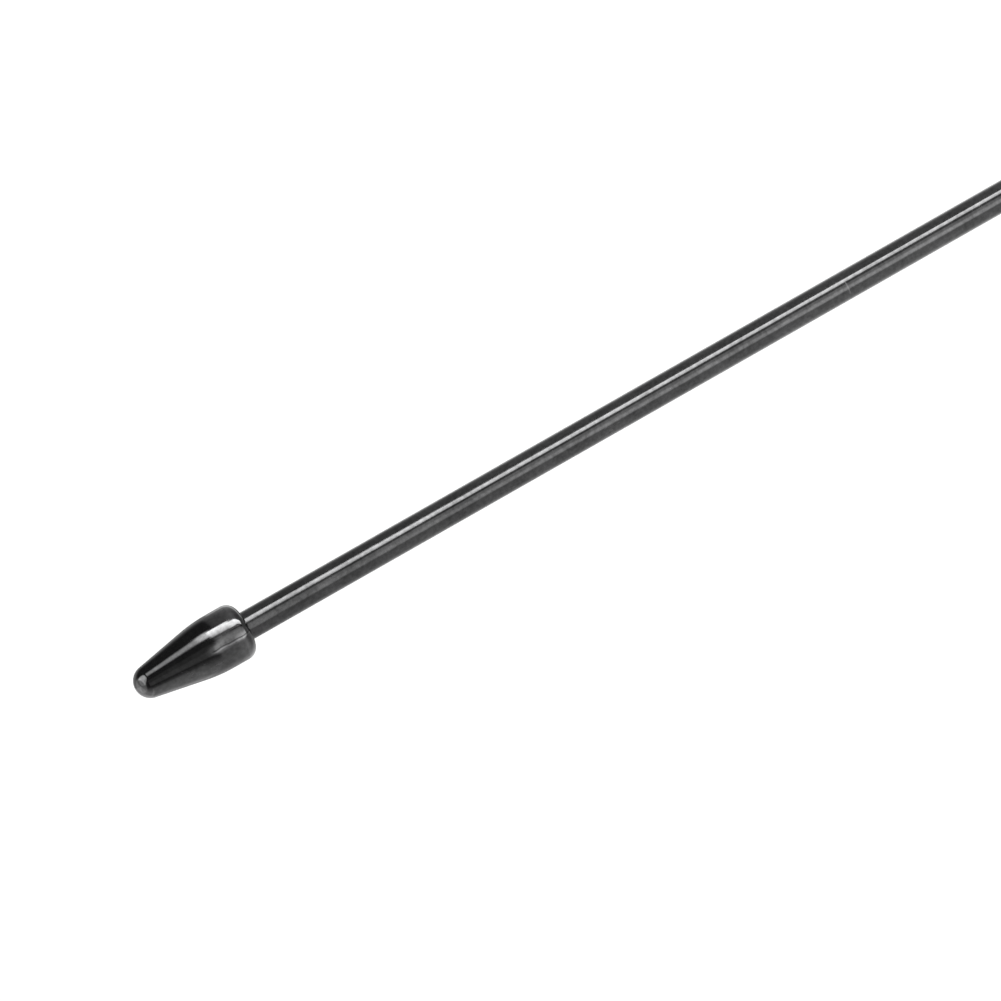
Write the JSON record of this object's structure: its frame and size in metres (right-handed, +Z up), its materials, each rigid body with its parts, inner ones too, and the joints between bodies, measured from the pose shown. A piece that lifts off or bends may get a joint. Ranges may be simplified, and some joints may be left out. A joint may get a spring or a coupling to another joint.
{
  "type": "mobile whip antenna",
  "caption": "Slim vehicle whip antenna: coaxial screw plug, loaded base, fold-over hinge and black-chrome rod with a bullet tip.",
  "frame": {"origin": "on the antenna's axis in the plane of the plug flange's seating face", "axes": "+Z up the whip towards its tip; the hinge pin lies along Y and the whip folds towards +X"},
  "size_m": [0.0186, 0.0186, 0.4654],
  "materials": {
    "black_chrome": "polished black chrome",
    "black_steel": "black oxide, satin",
    "spring_steel": "plain spring steel",
    "bronze": "plain bronze",
    "black_nylon": "fine moulded grain",
    "black_rubber": "matt",
    "raw_brass": "turned",
    "copper_wire": "enamelled",
    "white_ptfe": "waxy",
    "ceramic_disc": "dipped",
    "bright_nickel": "bright nickel plate on turned brass",
    "gilt_brass": "gold plate"
  },
  "bodies": {
    "base": {"plug_body": "bright_nickel", "plug_insulator": "white_ptfe", "centre_pin": "gilt_brass", "base_collar": "bright_nickel", "base_gasket": "black_rubber", "coil_housing": "black_nylon", "threaded_insert": "raw_brass", "coil_former": "white_ptfe", "loading_coil": "copper_wire", "matching_capacitor": "ceramic_disc", "fork_gasket": "black_rubber", "hinge_fork": "black_chrome", "hinge_screw": "black_steel", "hinge_nut": "black_steel", "spring_washer": "spring_steel", "friction_washers": "bronze"},
    "ring": {"coupling_ring": "bright_nickel"},
    "whip": {"whip_ferrule": "black_chrome", "whip_grub_screws": "black_steel", "whip_rod": "black_chrome", "tip_cap": "black_chrome"}
  },
  "joints": [
    {"name": "ring_turn", "type": "hinge", "parent": "base", "child": "ring", "pos_m": [0, 0, 0], "axis": [0, 0, 1], "continuous": true},
    {"name": "whip_fold", "type": "hinge", "parent": "base", "child": "whip", "pos_m": [0, 0, 0.0557], "axis": [0, 1, 0], "range_deg": [0, 90]}
  ]
}
